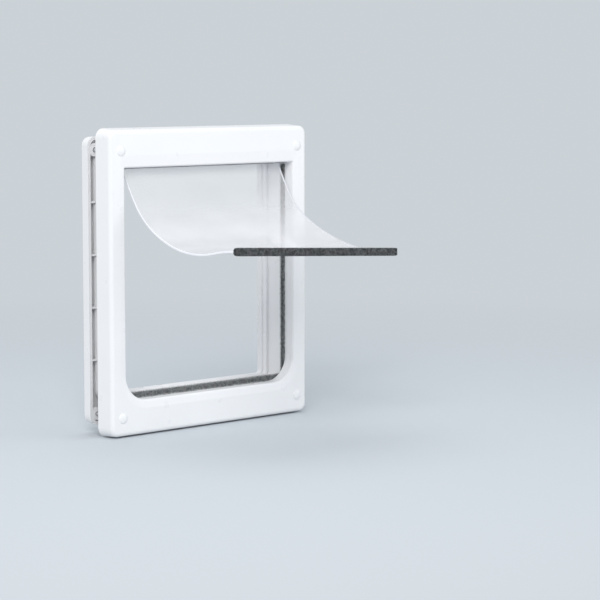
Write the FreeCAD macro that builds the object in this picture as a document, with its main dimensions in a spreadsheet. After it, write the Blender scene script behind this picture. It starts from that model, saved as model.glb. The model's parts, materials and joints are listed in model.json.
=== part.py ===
import FreeCAD, Part
import math
import os

import Sketcher
from FreeCAD import Placement, Rotation, Vector

# A small pet door for a door leaf: a moulded face frame outside, a moulded trim frame inside, and a
# soft film flap that hangs from a pivoting rail and is pushed open towards the outside.
# +X runs to the right seen from outside, +Y goes indoors and +Z is up. The origin is the centre of
# the outline, in the plane where the face frame meets the door leaf. Millimetres.

SIZES = [
    ("frame_width", 250.0, "outer width of the face frame"),
    ("frame_height", 290.0, "outer height of the face frame"),
    ("flange_depth", 20.0, "how far the face frame stands off the door leaf"),
    ("flank_draft", 1.5, "how much each flank leans in over the flange depth"),
    ("face_round", 4.0, "rounding between face and flanks"),
    ("outline_corner", 9.0, "corner radius of the outline at the door leaf"),
    ("face_wall", 2.6, "wall of the moulded faces"),
    ("flank_wall", 2.4, "wall of the moulded flanks"),
    ("face_side", 18.94, "face beside the opening"),
    ("face_top", 36.65, "face above the opening"),
    ("face_bottom", 33.85, "face below the opening"),
    ("lintel_corner", 1.5, "corner radius under the lintel"),
    ("sill_corner", 25.0, "corner radius between jambs and sill, at the face"),
    ("tunnel_corner", 6.0, "the same behind the face, along the tunnel"),
    ("mouth_round", 1.7, "rounding of the opening's front edge"),
    ("border_side", 6.5, "width of the dished border beside the opening"),
    ("border_top", 11.5, "width of the dished border above the opening"),
    ("border_bottom", 8.0, "width of the dished border below the opening"),
    ("border_dish", 0.7, "how deep the border slopes in"),
    ("sleeve_wall", 2.4, "wall of the sleeve that goes through the door leaf"),
    ("sleeve_reach", 26.0, "sleeve behind the flange"),
    ("lintel_lip", 9.5, "depth of the lintel in front of the rail recess"),
    ("recess_over", 8.75, "ceiling of the rail recess above the lintel"),
    ("leaf_thickness", 20.0, "door leaf between the two frames"),
    ("trim_inset_side", 6.0, "indoor trim frame narrower than the face frame, each side"),
    ("trim_inset_end", 8.0, "indoor trim frame lower than the face frame, each end"),
    ("trim_depth", 12.0, "how far the trim frame stands off the door leaf"),
    ("trim_draft", 0.8, "how much each trim flank leans in"),
    ("trim_round", 3.0, "rounding between trim face and flanks"),
    ("trim_wall", 2.7, "wall of the trim frame's sleeve"),
    ("trim_lead", 2.0, "trim sleeve in front of its flange"),
    ("sleeve_play", 0.36, "play between the two telescoping sleeves"),
    ("panel_slot_gap", 1.5, "trim sleeve before the closing panel's slot"),
    ("panel_slot_width", 3.0, "width of the closing panel's slot"),
    ("panel_slot_deep", 1.5, "depth of the closing panel's slot"),
    ("dome_radius", 5.0, "low domes on the face, over the screws"),
    ("dome_rise", 1.5, "height of the domes"),
    ("screw_beside", 4.64, "screws beside the opening"),
    ("screw_under_top", 20.7, "upper screws below the outline's top"),
    ("screw_over_bottom", 18.7, "lower screws above the outline's bottom"),
    ("boss_radius", 5.2, "screw bosses of both frames"),
    ("insert_radius", 2.9, "outside of the brass inserts"),
    ("insert_length", 8.0, "length of the brass inserts"),
    ("screw_radius", 1.95, "shank of the frame screws"),
    ("screw_hole", 2.3, "radius of the trim frame's screw holes"),
    ("head_radius", 3.7, "radius of the screw heads"),
    ("head_height", 2.5, "height of the screw heads"),
    ("tail_room", 2.0, "free depth beyond the screw tips"),
    ("well_radius", 5.0, "counterbores over the screw heads"),
    ("well_depth", 4.6, "depth of the counterbores"),
    ("cap_height", 1.8, "thickness of the screw caps"),
    ("cap_play", 0.1, "play round the screw caps"),
    ("rib_wall", 1.6, "wall of the stiffening ribs"),
    ("rib_pitch", 50.0, "distance between neighbouring ribs"),
    ("rib_setback", 3.0, "ribs behind the door leaf's plane"),
    ("pile_start", 12.4, "pile seal behind the face"),
    ("pile_width", 4.8, "width of the pile seal"),
    ("pile_proud", 4.26, "pile seal out of the jambs"),
    ("sill_pile_proud", 7.0, "pile seal out of the sill"),
    ("pile_seat", 1.0, "depth of the seal's groove"),
    ("pile_under", 2.95, "upper ends of the pile seal below the lintel"),
    ("pivot_depth", 17.24, "flap pivot behind the face"),
    ("pivot_over", 2.95, "flap pivot above the lintel's edge"),
    ("rail_radius", 5.0, "radius of the flap rail"),
    ("rail_play", 2.06, "between the flap rail's ends and the jambs"),
    ("rail_screw_radius", 1.4, "shank of the rail screws"),
    ("rail_head_radius", 2.4, "heads of the rail screws"),
    ("rail_head_height", 1.4, "height of the rail screw heads"),
    ("pin_radius", 1.5, "steel hinge pins"),
    ("pin_grip", 9.0, "hinge pin inside the rail"),
    ("pin_play", 0.05, "running play between pin and bush"),
    ("bush_radius", 3.0, "outside of the bushes"),
    ("bush_body", 3.8, "bush length in the jamb"),
    ("bush_flange_radius", 4.4, "flange of the bushes"),
    ("bush_flange", 1.2, "thickness of the bush flange"),
    ("bush_boss_radius", 5.4, "bosses round the bushes"),
    ("bush_boss_reach", 5.6, "bosses beyond the jamb surface"),
    ("film_play", 7.46, "between the flap film and the jambs"),
    ("film_wall", 1.8, "thickness of the flap film"),
    ("film_head", 4.2, "film above the pivot, inside the rail"),
    ("film_lean", 28.4, "film's slope off vertical at the rail, degrees"),
    ("film_neck", 7.81, "straight film below the pivot, inside the rail"),
    ("film_fall", 32.0, "length of the film's upper bend"),
    ("film_fall_turn", 5.3, "turn of the upper bend, degrees"),
    ("film_knee", 35.0, "length of the film's middle bend"),
    ("film_knee_turn", 24.9, "turn of the middle bend, degrees"),
    ("film_knee_twist", 2.2, "the middle bend's extra turn at the right edge, less at the left"),
    ("film_reach", 93.0, "length of the film's flattening end"),
    ("film_reach_turn", 35.3, "turn of the flattening end, degrees"),
    ("film_reach_twist", 10.1, "the flattening end's extra turn at the left edge, less at the right"),
    ("film_ease", 20.0, "length over which the twist ends"),
    ("film_band", 12.0, "flat band up to the middle of the edge channel"),
    ("film_grip", 0.8, "film beyond the middle of the edge channel"),
    ("channel_over", 0.2, "edge channel beyond the film, each end"),
    ("channel_wide", 6.2, "edge channel along the film"),
    ("channel_thick", 5.2, "edge channel across the film"),
    ("slot_play", 0.1, "play between film and channel"),
    ("edge_pile_over", 0.2, "edge pile beyond the channel, each end"),
    ("edge_pile_wall", 1.4, "thickness of the edge pile"),
    ("edge_pile_round", 2.6, "rounding of the edge pile towards the film"),
    ("magnet_length", 24.0, "magnets in edge and sill"),
    ("magnet_thick", 2.4, "thickness of the magnets"),
    ("magnet_deep", 2.0, "depth of the magnets in the edge channel"),
    ("magnet_side", 60.0, "magnets beside the centre"),
    ("sill_magnet_width", 8.0, "width of the sill magnets"),
    ("magnet_play", 0.1, "play round the magnets"),
    ("pocket_wall", 1.6, "walls of the sill magnet pockets"),
]

# Sizes that follow from the ones above.
DERIVED = [
    ("half_width", "frame_width / 2"),
    ("half_height", "frame_height / 2"),
    ("opening_half", "half_width - face_side"),
    ("lintel_rise", "half_height - face_top"),
    ("sill_drop", "half_height - face_bottom"),
    ("recess_rise", "lintel_rise + recess_over"),
    ("pivot_rise", "lintel_rise + pivot_over"),
    ("pile_rise", "lintel_rise - pile_under"),
    ("trim_half_width", "half_width - trim_inset_side"),
    ("trim_half_height", "half_height - trim_inset_end"),
    ("screw_side", "opening_half + screw_beside"),
    ("screw_rise", "half_height - screw_under_top"),
    ("screw_drop", "half_height - screw_over_bottom"),
    ("rail_half", "opening_half - rail_play"),
    ("film_half", "opening_half - film_play"),
    ("channel_half", "film_half + channel_over"),
    ("edge_pile_half", "channel_half + edge_pile_over"),
    ("hollow_side", "half_width - flank_draft - flank_wall"),
    ("hollow_end", "half_height - flank_draft - flank_wall"),
    ("hollow_corner", "outline_corner - flank_wall"),
    ("sleeve_half", "opening_half + sleeve_wall"),
    ("sleeve_top", "recess_rise + sleeve_wall"),
    ("sleeve_bottom", "sill_drop + sleeve_wall"),
    ("sleeve_sill_corner", "tunnel_corner + sleeve_wall"),
    ("sleeve_lintel_corner", "lintel_corner + sleeve_wall"),
    ("border_half", "opening_half + border_side"),
    ("border_rise", "lintel_rise + border_top"),
    ("border_drop", "sill_drop + border_bottom"),
    ("border_corner", "sill_corner + border_side"),
    ("border_lintel_corner", "lintel_corner + border_side"),
    ("groove_half", "opening_half + pile_seat"),
    ("groove_drop", "sill_drop + pile_seat"),
    ("groove_corner", "tunnel_corner + pile_seat"),
    ("pile_half", "opening_half - pile_proud"),
    ("pile_drop", "sill_drop - sill_pile_proud"),
    ("pile_corner", "tunnel_corner - pile_proud"),
    ("trim_outer_half", "opening_half - sleeve_play"),
    ("trim_outer_rise", "recess_rise - sleeve_play"),
    ("trim_outer_drop", "sill_drop - sleeve_play"),
    ("trim_outer_corner", "tunnel_corner - sleeve_play"),
    ("trim_outer_lintel_corner", "lintel_corner + sleeve_wall / 2"),
    ("trim_inner_half", "trim_outer_half - trim_wall"),
    ("trim_inner_rise", "trim_outer_rise - trim_wall"),
    ("trim_inner_drop", "trim_outer_drop - trim_wall"),
    ("trim_inner_corner", "trim_outer_corner - trim_wall"),
    ("slot_half", "trim_inner_half + panel_slot_deep"),
    ("slot_drop", "trim_inner_drop + panel_slot_deep"),
    ("slot_corner", "trim_inner_corner + panel_slot_deep"),
    ("trim_hollow_side", "trim_half_width - trim_draft - flank_wall"),
    ("trim_hollow_end", "trim_half_height - trim_draft - flank_wall"),
    ("trim_back", "leaf_thickness + trim_depth"),
    ("pivot_y", "pivot_depth - flange_depth"),
    ("screw_seat", "leaf_thickness + trim_depth - well_depth"),
    ("boss_depth", "flange_depth - face_wall"),
    ("trim_boss_radius", "well_radius + sleeve_wall / 2"),
    ("near_rib", "rib_pitch / 2"),
    ("far_rib", "1.5 * rib_pitch"),
    ("near_rib_start", "near_rib - rib_wall / 2"),
    ("near_rib_end", "near_rib + rib_wall / 2"),
    ("far_rib_start", "far_rib - rib_wall / 2"),
    ("far_rib_end", "far_rib + rib_wall / 2"),
    ("rib_root_side", "sleeve_half - sleeve_wall / 4"),
    ("rib_root_top", "sleeve_top - sleeve_wall / 4"),
    ("rib_root_bottom", "sleeve_bottom - sleeve_wall / 4"),
    ("rib_tip_side", "hollow_side + flank_wall / 2"),
    ("rib_tip_end", "hollow_end + flank_wall / 2"),
    ("trim_rib_root_side", "sleeve_half + sleeve_play"),
    ("trim_rib_root_top", "sleeve_top + sleeve_play"),
    ("trim_rib_root_bottom", "sleeve_bottom + sleeve_play"),
    ("trim_rib_tip_side", "trim_hollow_side + flank_wall / 2"),
    ("trim_rib_tip_end", "trim_hollow_end + flank_wall / 2"),
    ("pocket_inner", "magnet_side - magnet_length / 2 - magnet_play"),
    ("pocket_outer", "magnet_side + magnet_length / 2 + magnet_play"),
    ("pocket_floor", "sleeve_bottom + magnet_thick + 2 * magnet_play"),
    ("housing_inner", "pocket_inner - pocket_wall"),
    ("housing_outer", "pocket_outer + pocket_wall"),
    ("housing_floor", "pocket_floor + pocket_wall"),
    ("housing_root", "sleeve_bottom - sleeve_wall / 2"),
    ("bore_depth", "insert_length + tail_room"),
    ("shank_length", "screw_seat + insert_length"),
]


def set_up_sizes(doc):
    """The sheet of driving sizes, and the sizes that follow from them."""
    sheet = doc.addObject("Spreadsheet::Sheet", "Sizes")
    for row, (alias, value, note) in enumerate(SIZES, start=1):
        sheet.set(f"A{row}", note)
        sheet.set(f"B{row}", str(value))
        sheet.setAlias(f"B{row}", alias)
    doc.recompute()
    derived = doc.addObject("App::VarSet", "Derived")
    names = {alias: "Sizes." + alias for alias, _, _ in SIZES}
    for name, formula in DERIVED:
        derived.addProperty("App::PropertyFloat", name, "Derived", formula)
        words = [names.get(word, word) for word in formula.split()]
        derived.setExpression(name, " ".join(words))
        names[name] = "Derived." + name
    doc.recompute()
    return sheet, derived, names


doc = FreeCAD.newDocument("cat_flap")
sheet, derived, paths = set_up_sizes(doc)
DERIVED_NAMES = {name for name, _ in DERIVED}


def size(name):
    """The number behind a named size, with an optional minus sign."""
    if name.startswith("-"):
        return -size(name[1:])
    return float(getattr(derived if name in DERIVED_NAMES else sheet, name))


def bind(thing, prop, formula):
    """Ties a property to a formula of named sizes."""
    if formula.startswith("-") and formula[1:] in paths:
        formula = "- " + formula[1:]
    words = [paths.get(word, word) for word in formula.split()]
    thing.setExpression(prop, " ".join(words))


def plane(body, role):
    return next(f for f in body.Origin.OriginFeatures if f.Role == role)


def new_body(label):
    body = doc.addObject("PartDesign::Body", label)
    body.Label = label
    return body


def sketch_on(body, name, role, offset=None):
    """A sketch on one of the body's own planes. offset runs along the plane's normal."""
    sketch = body.newObject("Sketcher::SketchObject", name)
    sketch.AttachmentSupport = [(plane(body, role), "")]
    sketch.MapMode = "FlatFace"
    if offset:
        bind(sketch, "AttachmentOffset.Base.z", offset)
    return sketch


def place_line(sketch, line, axis, name):
    """Holds a line's start at the named distance from the origin along one axis."""
    low = name.startswith("-")
    ends = (line, 1, -1, 1) if low else (-1, 1, line, 1)
    index = sketch.addConstraint(Sketcher.Constraint("Distance" + axis, *ends, abs(size(name))))
    bind(sketch, f"Constraints[{index}]", name.lstrip("-"))


def corner_points(corners):
    """For each corner of an outline: where its rounding starts, ends and is centred."""
    rows = []
    count = len(corners)
    for i, (x, z, radius) in enumerate(corners):
        here = Vector(size(x), size(z), 0)
        before = Vector(size(corners[i - 1][0]), size(corners[i - 1][1]), 0)
        after = Vector(size(corners[(i + 1) % count][0]), size(corners[(i + 1) % count][1]), 0)
        r = size(radius) if radius else 0.0
        back = (before - here).normalize()
        ahead = (after - here).normalize()
        rows.append((here + back * r, here + ahead * r, here + (back + ahead) * r, r))
    return rows


def outline(sketch, corners):
    """A closed outline of level and upright lines with rounded corners, counter-clockwise."""
    rows = corner_points(corners)
    count = len(corners)
    lines = []
    for i in range(count):
        start, end = rows[i][1], rows[(i + 1) % count][0]
        lines.append(sketch.addGeometry(Part.LineSegment(start, end), False))
        level = corners[i][1] == corners[(i + 1) % count][1]
        sketch.addConstraint(Sketcher.Constraint("Horizontal" if level else "Vertical", lines[i]))
        place_line(sketch, lines[i], "Y" if level else "X", corners[i][1] if level else corners[i][0])
    for i in range(count):
        start, end, centre, r = rows[i]
        if not r:
            sketch.addConstraint(Sketcher.Constraint("Coincident", lines[i - 1], 2, lines[i], 1))
            continue
        inward = (start - centre).cross(end - centre).z < 0
        first, last = (end, start) if inward else (start, end)
        angles = [math.atan2(p.y - centre.y, p.x - centre.x) for p in (first, last)]
        circle = Part.Circle(centre, Vector(0, 0, 1), r)
        arc = sketch.addGeometry(Part.ArcOfCircle(circle, *angles), False)
        near, far = (2, 1) if inward else (1, 2)
        sketch.addConstraint(Sketcher.Constraint("Tangent", lines[i - 1], 2, arc, near))
        sketch.addConstraint(Sketcher.Constraint("Tangent", arc, far, lines[i], 1))
        index = sketch.addConstraint(Sketcher.Constraint("Radius", arc, r))
        bind(sketch, f"Constraints[{index}]", corners[i][2])


def hold_point(sketch, element, point, x, z):
    """Holds a point of a sketch at two named distances from the origin; z may be None for none."""
    for axis, name in (("X", x), ("Y", z)):
        if name is None:
            sketch.addConstraint(Sketcher.Constraint("PointOnObject", element, point, -1))
            continue
        low = name.startswith("-")
        ends = (element, point, -1, 1) if low else (-1, 1, element, point)
        index = sketch.addConstraint(Sketcher.Constraint("Distance" + axis, *ends, abs(size(name))))
        bind(sketch, f"Constraints[{index}]", name.lstrip("-"))


def circles(sketch, places, radius):
    """Circles of one named radius at the named places."""
    for x, z in places:
        centre = Vector(size(x), size(z) if z else 0, 0)
        circle = sketch.addGeometry(Part.Circle(centre, Vector(0, 0, 1), size(radius)), False)
        hold_point(sketch, circle, 3, x, z)
        index = sketch.addConstraint(Sketcher.Constraint("Radius", circle, size(radius)))
        bind(sketch, f"Constraints[{index}]", radius)


def rectangle(sketch, left, right, bottom, top):
    outline(sketch, [(left, bottom, None), (right, bottom, None), (right, top, None), (left, top, None)])


def mouth(half, rise, drop, top_corner, bottom_corner):
    """The corners of an opening: nearly square above, well rounded below."""
    return [
        ("-" + half, "-" + drop, bottom_corner),
        (half, "-" + drop, bottom_corner),
        (half, rise, top_corner),
        ("-" + half, rise, top_corner),
    ]


def pad(body, name, sketch, length, indoors, taper=None):
    """Adds material behind (indoors) or in front of a sketch that lies across the door leaf."""
    feature = body.newObject("PartDesign::Pad", name)
    feature.Profile = sketch
    feature.Reversed = indoors
    bind(feature, "Length", length)
    if taper:
        bind(feature, "TaperAngle", taper)
    return finish(feature)


def pocket(body, name, sketch, length, indoors):
    feature = body.newObject("PartDesign::Pocket", name)
    feature.Profile = sketch
    feature.Reversed = not indoors
    bind(feature, "Length", length)
    return finish(feature)


def finish(feature):
    """Recomputes, and stops where a feature failed or changed nothing."""
    if hasattr(feature, "Refine"):
        feature.Refine = False
    doc.recompute()
    base = getattr(feature, "BaseFeature", None)
    if base is not None and abs(base.Shape.Volume - feature.Shape.Volume) < 1e-3:
        raise RuntimeError(feature.Name + " changes nothing")
    return feature


def round_edges(body, name, radius, chosen):
    """Rounds the edges of the body's last feature for which chosen(edge) holds."""
    base = body.Tip
    edges = [f"Edge{i}" for i, e in enumerate(base.Shape.Edges, start=1) if chosen(e)]
    feature = body.newObject("PartDesign::Fillet", name)
    feature.Base = (base, edges)
    bind(feature, "Radius", radius)
    return finish(feature)


def solid(body, kind, name, role, at, sizes):
    """A primitive of the body, placed by formulas along its plane's two axes and normal."""
    feature = body.newObject("PartDesign::" + kind, name)
    feature.AttachmentSupport = [(plane(body, role), "")]
    feature.MapMode = "FlatFace"
    for axis, formula in zip("xyz", at):
        bind(feature, "AttachmentOffset.Base." + axis, formula)
    for prop, formula in sizes.items():
        bind(feature, prop, formula)
    return finish(feature)


def in_plane(edge, y):
    """Whether an edge lies in the plane at depth y."""
    box = edge.BoundBox
    return abs(box.YMin - y) < 1e-4 and abs(box.YMax - y) < 1e-4


def screw_places():
    """Where the frame screws stand: name, X and Z."""
    for side, x in (("left", "-screw_side"), ("right", "screw_side")):
        for level, z in (("upper", "screw_rise"), ("lower", "-screw_drop")):
            yield f"{side}_{level}", x, z


SCREWS = [(x, z) for _, x, z in screw_places()]


def ribs(body, sketch_offset, depth, indoors, sleeve, flank):
    """Ribs between sleeve and flanks, which are given as half width, top and bottom."""
    sketch = sketch_on(body, "rib_outlines", "XZ_Plane", sketch_offset)
    for inner, outer in (("near_rib_start", "near_rib_end"), ("far_rib_start", "far_rib_end")):
        for low, high in ((inner, outer), ("-" + outer, "-" + inner)):
            rectangle(sketch, low, high, sleeve[1], flank[1])
            rectangle(sketch, low, high, "-" + flank[1], "-" + sleeve[2])
            rectangle(sketch, sleeve[0], flank[0], low, high)
            rectangle(sketch, "-" + flank[0], "-" + sleeve[0], low, high)
    pad(body, "ribs", sketch, depth, indoors)


def outline_corners(half_width, half_height, corner):
    return mouth(half_width, half_height, half_height, corner, corner)


def make_outer_frame():
    """The face frame: a shell open towards the door leaf, with its sleeve, bosses and ribs."""
    body = new_body("outer_frame")
    face = -size("flange_depth")
    shell = sketch_on(body, "face_outline", "XZ_Plane")
    outline(shell, outline_corners("half_width", "half_height", "outline_corner"))
    pad(body, "flange", shell, "flange_depth", False, "-1 * atan( flank_draft / flange_depth )")
    round_edges(body, "face_rounding", "face_round", lambda e: in_plane(e, face))
    for name, x, z in screw_places():
        solid(body, "AdditiveEllipsoid", "dome_" + name, "XZ_Plane", (x, z, "flange_depth"),
              {"Radius1": "dome_rise", "Radius2": "dome_radius", "Radius3": "dome_radius"})

    ring = sketch_on(body, "hollow_outline", "XZ_Plane")
    outline(ring, outline_corners("hollow_side", "hollow_end", "hollow_corner"))
    sleeve = mouth("sleeve_half", "sleeve_top", "sleeve_bottom", "sleeve_lintel_corner", "sleeve_sill_corner")
    outline(ring, sleeve)
    pocket(body, "hollow", ring, "boss_depth", False)
    tube = sketch_on(body, "sleeve_outline", "XZ_Plane")
    outline(tube, sleeve)
    pad(body, "sleeve", tube, "sleeve_reach", True)
    for side, start in (("right", "opening_half + sleeve_wall / 2"),
                        ("left", "- opening_half - bush_boss_reach")):
        solid(body, "AdditiveCylinder", side + "_bush_boss", "YZ_Plane", ("pivot_y", "pivot_rise", start),
              {"Radius": "bush_boss_radius", "Height": "bush_boss_reach - sleeve_wall / 2"})
    for side, start in (("right", "opening_half"), ("left", "- opening_half - bush_body")):
        solid(body, "SubtractiveCylinder", side + "_bush_bore", "YZ_Plane", ("pivot_y", "pivot_rise", start),
              {"Radius": "bush_radius", "Height": "bush_body"})

    wide = sketch_on(body, "border_outline", "XZ_Plane", "flange_depth")
    outline(wide, mouth("border_half", "border_rise", "border_drop", "border_lintel_corner", "border_corner"))
    narrow = sketch_on(body, "border_floor", "XZ_Plane", "flange_depth - border_dish")
    opening = mouth("opening_half", "lintel_rise", "sill_drop", "lintel_corner", "sill_corner")
    outline(narrow, opening)
    dish = body.newObject("PartDesign::SubtractiveLoft", "border_dish")
    dish.Profile = wide
    dish.Sections = [narrow]
    finish(dish)

    hole = sketch_on(body, "opening_outline", "XZ_Plane", "flange_depth")
    outline(hole, opening)
    pocket(body, "opening", hole, "pile_start", True)
    lip = face + size("border_dish")
    round_edges(body, "opening_rounding", "mouth_round", lambda e: in_plane(e, lip))

    recess = sketch_on(body, "rail_recess_outline", "XZ_Plane", "flange_depth - lintel_lip")
    outline(recess, mouth("opening_half", "recess_rise", "sill_drop", "lintel_corner", "sill_corner"))
    pocket(body, "rail_recess", recess, "pile_start - lintel_lip", True)
    tunnel = sketch_on(body, "tunnel_outline", "XZ_Plane", "flange_depth - pile_start")
    outline(tunnel, mouth("opening_half", "recess_rise", "sill_drop", "lintel_corner", "tunnel_corner"))
    pocket(body, "tunnel", tunnel, "flange_depth + sleeve_reach - pile_start", True)

    groove = sketch_on(body, "pile_groove_outline", "XZ_Plane", "flange_depth - pile_start")
    outline(groove, mouth("groove_half", "pile_rise", "groove_drop", "", "groove_corner"))
    pocket(body, "pile_groove", groove, "pile_width", True)

    bosses = sketch_on(body, "boss_outlines", "XZ_Plane")
    circles(bosses, SCREWS, "boss_radius")
    pad(body, "bosses", bosses, "boss_depth + face_wall / 2", False)
    bores = sketch_on(body, "bore_outlines", "XZ_Plane")
    circles(bores, SCREWS, "insert_radius")
    pocket(body, "bores", bores, "bore_depth", False)

    ribs(body, "rib_setback", "boss_depth - rib_setback + face_wall / 2", False,
         ("rib_root_side", "rib_root_top", "rib_root_bottom"), ("rib_tip_side", "rib_tip_end"))

    housing = sketch_on(body, "magnet_housing_outlines", "XZ_Plane")
    room = sketch_on(body, "magnet_pocket_outlines", "XZ_Plane")
    for mirror in (False, True):
        ends = [("-housing_outer", "-housing_inner"), ("-pocket_outer", "-pocket_inner")]
        if not mirror:
            ends = [(right.lstrip("-"), left.lstrip("-")) for left, right in ends]
        rectangle(housing, *ends[0], "-housing_floor", "-housing_root")
        rectangle(room, *ends[1], "-pocket_floor", "-sleeve_bottom")
    pad(body, "magnet_housings", housing, "sill_magnet_width + pocket_wall", False)
    pocket(body, "magnet_pockets", room, "sill_magnet_width", False)
    return body


def make_inner_frame():
    """The indoor trim frame: its sleeve slides into the face frame's sleeve."""
    body = new_body("inner_frame")
    face = size("trim_back")
    shell = sketch_on(body, "trim_outline", "XZ_Plane", "- leaf_thickness")
    outline(shell, outline_corners("trim_half_width", "trim_half_height", "outline_corner"))
    pad(body, "flange", shell, "trim_depth", True, "-1 * atan( trim_draft / trim_depth )")
    round_edges(body, "trim_rounding", "trim_round", lambda e: in_plane(e, face))

    ring = sketch_on(body, "hollow_outline", "XZ_Plane", "- leaf_thickness")
    outline(ring, outline_corners("trim_hollow_side", "trim_hollow_end", "hollow_corner"))
    tube = mouth("trim_outer_half", "trim_outer_rise", "trim_outer_drop", "trim_outer_lintel_corner",
                 "trim_outer_corner")
    outline(ring, tube)
    pocket(body, "hollow", ring, "trim_depth - face_wall", True)
    lead = sketch_on(body, "lead_outline", "XZ_Plane", "- leaf_thickness")
    outline(lead, tube)
    pad(body, "lead", lead, "trim_lead", False)

    hole = sketch_on(body, "opening_outline", "XZ_Plane", "trim_lead - leaf_thickness")
    outline(hole, mouth("trim_inner_half", "trim_inner_rise", "trim_inner_drop", "lintel_corner",
                        "trim_inner_corner"))
    pocket(body, "opening", hole, "trim_lead + trim_depth", True)
    round_edges(body, "opening_rounding", "mouth_round", lambda e: in_plane(e, face)
                and max(abs(e.BoundBox.XMin), abs(e.BoundBox.XMax)) < size("trim_outer_half"))
    slot = sketch_on(body, "panel_slot_outline", "XZ_Plane", "- leaf_thickness - panel_slot_gap")
    outline(slot, mouth("slot_half", "trim_inner_rise", "slot_drop", "lintel_corner", "slot_corner"))
    pocket(body, "panel_slot", slot, "panel_slot_width", True)

    bosses = sketch_on(body, "boss_outlines", "XZ_Plane", "- leaf_thickness")
    circles(bosses, SCREWS, "trim_boss_radius")
    pad(body, "bosses", bosses, "trim_depth - face_wall / 2", True)
    wells = sketch_on(body, "well_outlines", "XZ_Plane", "- screw_seat")
    circles(wells, SCREWS, "well_radius")
    pocket(body, "screw_wells", wells, "well_depth + cap_height", True)
    holes = sketch_on(body, "hole_outlines", "XZ_Plane", "- trim_back")
    circles(holes, SCREWS, "screw_hole")
    pocket(body, "screw_holes", holes, "trim_depth", False)
    ribs(body, "face_wall / 2 - trim_back", "trim_depth - face_wall / 2 - rib_setback / 2", False,
         ("trim_rib_root_side", "trim_rib_root_top", "trim_rib_root_bottom"),
         ("trim_rib_tip_side", "trim_rib_tip_end"))
    return body


def make_frame_pile():
    """The pile seal: down a jamb, along the sill and up the other jamb in one length."""
    body = new_body("frame_pile")
    sketch = sketch_on(body, "pile_outline", "XZ_Plane", "flange_depth - pile_start")
    outline(sketch, [
        ("-groove_half", "-groove_drop", "groove_corner"),
        ("groove_half", "-groove_drop", "groove_corner"),
        ("groove_half", "pile_rise", None),
        ("pile_half", "pile_rise", None),
        ("pile_half", "-pile_drop", "pile_corner"),
        ("-pile_half", "-pile_drop", "pile_corner"),
        ("-pile_half", "pile_rise", None),
        ("-groove_half", "pile_rise", None),
    ])
    pad(body, "pile", sketch, "pile_width", True)
    return body


def cylinder(name, radius, height, at, turn):
    """A cylinder placed by formulas; turn swings its axis from Z."""
    part = doc.addObject("Part::Cylinder", name)
    bind(part, "Radius", radius)
    bind(part, "Height", height)
    part.Placement = Placement(Vector(), turn)
    for axis, formula in zip("xyz", at):
        bind(part, "Placement.Base." + axis, formula)
    return part


def box(name, sides, at):
    part = doc.addObject("Part::Box", name)
    for prop, formula in zip(("Length", "Width", "Height"), sides):
        bind(part, prop, formula)
    for axis, formula in zip("xyz", at):
        bind(part, "Placement.Base." + axis, formula)
    return part


def joined(name, parts):
    fuse = doc.addObject("Part::MultiFuse", name)
    fuse.Shapes = parts
    return fuse


def cut(name, base, tool):
    part = doc.addObject("Part::Cut", name)
    part.Base = base
    part.Tool = tool
    return part


def group(label, parts):
    """Like pieces that share one node, each a solid of its own."""
    compound = doc.addObject("Part::Compound", label)
    compound.Label = label
    compound.Links = parts
    return compound


INDOORS = Rotation(Vector(1, 0, 0), -90)
OUTDOORS = Rotation(Vector(1, 0, 0), 90)
RIGHTWARDS = Rotation(Vector(0, 1, 0), 90)


def make_frame_screws():
    """Screws from indoors through the trim frame and the door leaf into the face frame."""
    screws = []
    for name, x, z in screw_places():
        head = cylinder("head_" + name, "head_radius", "head_height", (x, "screw_seat", z), INDOORS)
        shank = cylinder("shank_" + name, "screw_radius", "shank_length",
                         (x, "screw_seat", z), OUTDOORS)
        drive = cylinder("drive_" + name, "screw_radius", "head_height / 2",
                         (x, "screw_seat + head_height / 2", z), INDOORS)
        screws.append(cut("screw_" + name, joined("blank_" + name, [head, shank]), drive))
    return group("frame_screws", screws)


def make_screw_inserts():
    inserts = []
    for name, x, z in screw_places():
        sleeve = cylinder("sleeve_" + name, "insert_radius", "insert_length", (x, "0", z), OUTDOORS)
        bore = cylinder("thread_" + name, "screw_radius", "insert_length", (x, "0", z), OUTDOORS)
        inserts.append(cut("insert_" + name, sleeve, bore))
    return group("screw_inserts", inserts)


def make_screw_caps():
    caps = []
    for name, x, z in screw_places():
        disc = cylinder("disc_" + name, "well_radius - cap_play", "cap_height",
                        (x, "trim_back - cap_height", z), INDOORS)
        caps.append(disc)
    return group("screw_caps", caps)


def make_sill_magnets():
    magnets = []
    for side, x in (("left", "- magnet_side"), ("right", "magnet_side")):
        magnets.append(box(side + "_sill_magnet", ("magnet_length", "sill_magnet_width", "magnet_thick"),
                           (f"{x} - magnet_length / 2", "- sill_magnet_width",
                            "- sleeve_bottom - magnet_thick")))
    return group("sill_magnets", magnets)


def make_hinge_bushes():
    """Flanged bushes in the jambs, one each side."""
    bushes = []
    places = (
        ("right", "opening_half", "opening_half - bush_flange", "opening_half - bush_flange"),
        ("left", "- opening_half - bush_body", "- opening_half", "- opening_half - bush_body"),
    )
    for side, body_x, flange_x, bore_x in places:
        barrel = cylinder(side + "_barrel", "bush_radius", "bush_body", (body_x, "pivot_y", "pivot_rise"),
                          RIGHTWARDS)
        flange = cylinder(side + "_flange", "bush_flange_radius", "bush_flange",
                          (flange_x, "pivot_y", "pivot_rise"), RIGHTWARDS)
        bore = cylinder(side + "_bore", "pin_radius + pin_play", "bush_body + bush_flange",
                        (bore_x, "pivot_y", "pivot_rise"), RIGHTWARDS)
        bushes.append(cut(side + "_bush", joined(side + "_bush_blank", [barrel, flange]), bore))
    return group("hinge_bushes", bushes)


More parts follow.
